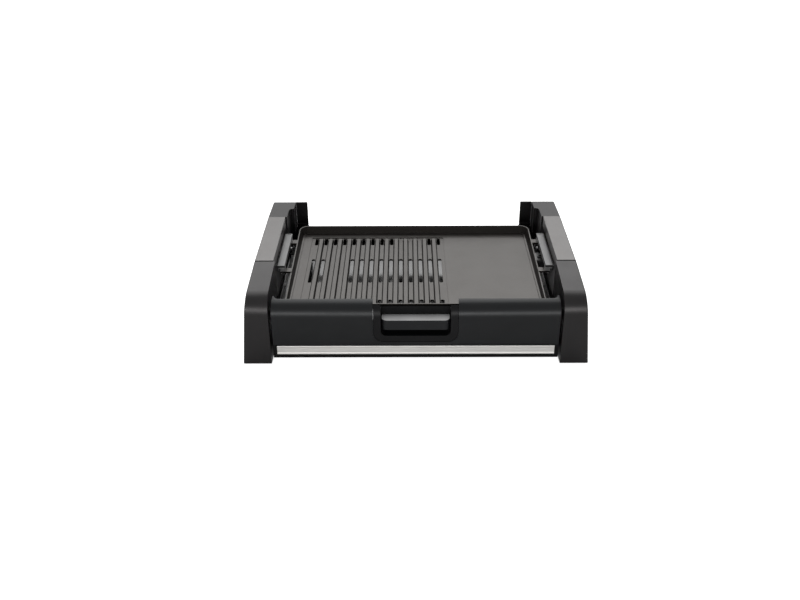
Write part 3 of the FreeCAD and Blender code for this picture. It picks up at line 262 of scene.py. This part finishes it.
def rubber():
    """Matt dark rubber with a coarse grain."""
    material, tree, shader = principled_material("foot_rubber")
    place = coordinates(tree)
    cloud = noise(tree, place, 60.0, 4.0)
    base = ramp(tree, cloud, [(NOISE_LOW, (0.012, 0.012, 0.012)),
                              (NOISE_HIGH, (0.024, 0.023, 0.022))])
    tree.links.new(base, shader.inputs["Base Color"])
    tree.links.new(spread(tree, cloud, 0.75, 0.9), shader.inputs["Roughness"])
    bump(tree, noise(tree, place, 800.0, 2.0), shader, 0.3, 0.0002)
    return material


# Each material slot's surface; a gloss, grain, relief, stretch, scale or tint is given where it
# differs from the usual one
PLASTICS = {
    "casing_plastic": dict(colour=(0.0036, 0.0034, 0.0036), rough=0.34, specular=0.24,
                           gloss=(1.0, 0.96, 0.96)),
    "handle_plastic": dict(colour=(0.0060, 0.0057, 0.0056), rough=0.34, specular=0.80,
                           gloss=(1.0, 0.955, 0.93)),
    "drawer_plastic": dict(colour=(0.0030, 0.0032, 0.0036), rough=0.34, specular=0.18,
                           gloss=(0.97, 0.99, 1.0)),
    "grip_plastic": dict(colour=(0.0045, 0.0045, 0.0045), rough=0.36, specular=0.90),
    "pan_paint": dict(colour=(0.0022, 0.0022, 0.0022), rough=0.55, specular=0.06, grain=500.0),
    # silver_inlay: a pale grey on the grip's top inlay that stands in for the light the ledge
    # reflects, a painted highlight.
    "silver_inlay": dict(colour=(0.26, 0.26, 0.26), rough=0.45, specular=0.5, grain=900.0,
                         relief=0.05),
    "surround_plastic": dict(colour=(0.0030, 0.0030, 0.0033), rough=0.36, specular=0.10),
    "frame_plastic": dict(colour=(0.0022, 0.0022, 0.0022), rough=0.50, specular=0.06),
    "tray_enamel": dict(colour=(0.0060, 0.0060, 0.0060), rough=0.17, specular=0.9, grain=200.0,
                        relief=0.02),
}
STEELS = {
    "sheet_steel": dict(colour=(0.30, 0.30, 0.30), rough=0.42, scale=90.0, tint=0.25),
    "brushed_trim": dict(colour=(0.58, 0.57, 0.55), rough=0.34, stretch=(0.02, 1, 1),
                         scale=2600.0, relief=0.1),
    "element_steel": dict(colour=(0.16, 0.145, 0.13), rough=0.42, scale=220.0, tint=0.3),
    "contact_steel": dict(colour=(0.62, 0.60, 0.55), rough=0.22, scale=400.0),
    "screw_steel": dict(colour=(0.42, 0.42, 0.42), rough=0.33, scale=600.0),
}
by_slot = {"plate_coating": plate_coating(), "foot_rubber": rubber()}
for slot, surface in PLASTICS.items():
    by_slot[slot] = moulded_plastic(slot, **surface)
for slot, surface in STEELS.items():
    by_slot[slot] = steel(slot, **surface)


def round_edges(node, width):
    """Weld the mesh, round its sharp edges by a width in millimetres, and shade it evenly."""
    weld = node.modifiers.new("weld", "WELD")
    weld.merge_threshold = WELD_DISTANCE
    bevel = node.modifiers.new("edges", "BEVEL")
    bevel.width = width * MM
    bevel.segments = 2 if width < EDGE_FINE else 3
    bevel.limit_method = "ANGLE"
    bevel.angle_limit = EDGE_ANGLE
    bevel.harden_normals = True
    even = node.modifiers.new("even_shading", "WEIGHTED_NORMAL")
    even.weight = FACE_WEIGHT
    even.keep_sharp = True
    node.data.polygons.foreach_set("use_smooth", [True] * len(node.data.polygons))


slots = {part["node"]: part["material_slot"] for part in frame["record"]["subparts"]}
for name, node in frame["nodes"].items():
    node.data.materials.clear()
    node.data.materials.append(by_slot[slots[name]])
    round_edges(node, EDGE.get(name, EDGE_OTHERS))


# Floor, world and lamps
def glow_outside_painted_shadow(tree):
    """1 on the open floor, 0 under the casings and the pan, from the place on the floor: the
    floor's glow is left out in this outline, which paints the object's shadow there.
    """
    where = tree.nodes.new("ShaderNodeTexCoord")
    split = tree.nodes.new("ShaderNodeSeparateXYZ")
    tree.links.new(where.outputs["Object"], split.inputs["Vector"])
    across = calculate(tree, "ABSOLUTE", split.outputs["X"])
    along = calculate(tree, "ABSOLUTE", split.outputs["Y"])
    outside = calculate(tree, "SUBTRACT", across, FOOT_OUTER)
    past_sides = calculate(tree, "SUBTRACT", across, FOOT_INNER)
    between = calculate(tree, "MULTIPLY", past_sides, -1)
    past_ends = calculate(tree, "SUBTRACT", along, FOOT_END)
    past_pan = calculate(tree, "SUBTRACT", along, PAN_END)
    casings = calculate(tree, "MAXIMUM", calculate(tree, "MAXIMUM", outside, past_ends), between)
    pan = calculate(tree, "MAXIMUM", past_sides, past_pan)
    gap = calculate(tree, "MINIMUM", casings, pan)
    return remap(tree, gap, (GLOW_INSIDE, GLOW_OUTSIDE))


def stage_material():
    """White floor: lit and shadowed, and lifted where the camera or a reflection sees it, except
    in the object's outline, where the lift is left out as a painted shadow.
    """
    material, tree, output = new_material("stage_white")
    diffuse = tree.nodes.new("ShaderNodeBsdfDiffuse")
    diffuse.inputs["Color"].default_value = (0.86, 0.86, 0.86, 1)
    glow = tree.nodes.new("ShaderNodeEmission")
    path = tree.nodes.new("ShaderNodeLightPath")
    to_camera = calculate(tree, "MULTIPLY", path.outputs["Is Camera Ray"], FLOOR_LIFT)
    to_gloss = calculate(tree, "MULTIPLY", path.outputs["Is Glossy Ray"], GLOSS_LIFT)
    lift = calculate(tree, "ADD", to_camera, to_gloss)
    # The lift is left out under the casings and the pan: a painted shadow in the object's
    # outline.
    level = calculate(tree, "MULTIPLY", lift, glow_outside_painted_shadow(tree))
    tree.links.new(level, glow.inputs["Strength"])
    add = tree.nodes.new("ShaderNodeAddShader")
    tree.links.new(diffuse.outputs[0], add.inputs[0])
    tree.links.new(glow.outputs[0], add.inputs[1])
    tree.links.new(add.outputs[0], output.inputs["Surface"])
    return material


def floor():
    """A wide white floor just below the feet."""
    mesh = bpy.data.meshes.new("floor")
    corners = [(-FLOOR_REACH, -FLOOR_REACH, 0), (FLOOR_REACH, -FLOOR_REACH, 0),
               (FLOOR_REACH, FLOOR_REACH, 0), (-FLOOR_REACH, FLOOR_REACH, 0)]
    mesh.from_pydata(corners, [], [(0, 1, 2, 3)])
    obj = bpy.data.objects.new("floor", mesh)
    bpy.context.scene.collection.objects.link(obj)
    obj.location.z = -FLOOR_DROP
    mesh.materials.append(stage_material())


def world():
    """Soft even light from all round, seen as white by the camera and in reflections."""
    sky = bpy.data.worlds.new("world")
    bpy.context.scene.world = sky
    sky.use_nodes = True
    tree = sky.node_tree
    background = tree.nodes["Background"]
    background.inputs["Color"].default_value = (1, 1, 1, 1)
    path = tree.nodes.new("ShaderNodeLightPath")
    glossy = path.outputs["Is Glossy Ray"]
    mirrored = calculate(tree, "MAXIMUM", glossy, path.outputs["Is Transmission Ray"])
    seen = calculate(tree, "MAXIMUM", mirrored, path.outputs["Is Camera Ray"])
    tree.links.new(scaled(tree, seen, SKY_LEVEL, WHITE_LEVEL), background.inputs["Strength"])


def soft_box(name, azimuth, elevation, distance, size, power):
    """An area lamp that faces the object; azimuth 0 is in front, 180 behind."""
    turn = math.radians(azimuth)
    rise = math.radians(elevation)
    away = Vector((math.sin(turn) * math.cos(rise),
                   -math.cos(turn) * math.cos(rise),
                   math.sin(rise)))
    data = bpy.data.lights.new(name, "AREA")
    data.shape = "RECTANGLE"
    data.size, data.size_y = size
    data.energy = power
    lamp = bpy.data.objects.new(name, data)
    lamp.location = LAMP_AIM + away * distance
    lamp.rotation_euler = away.to_track_quat("Z", "Y").to_euler()
    bpy.context.scene.collection.objects.link(lamp)


floor()
world()
soft_box("overhead_box", 186, 53, 2.2, (3.0, 2.2), 55)
soft_box("front_strip", -4, 8, 2.6, (3.0, 0.80), 55)
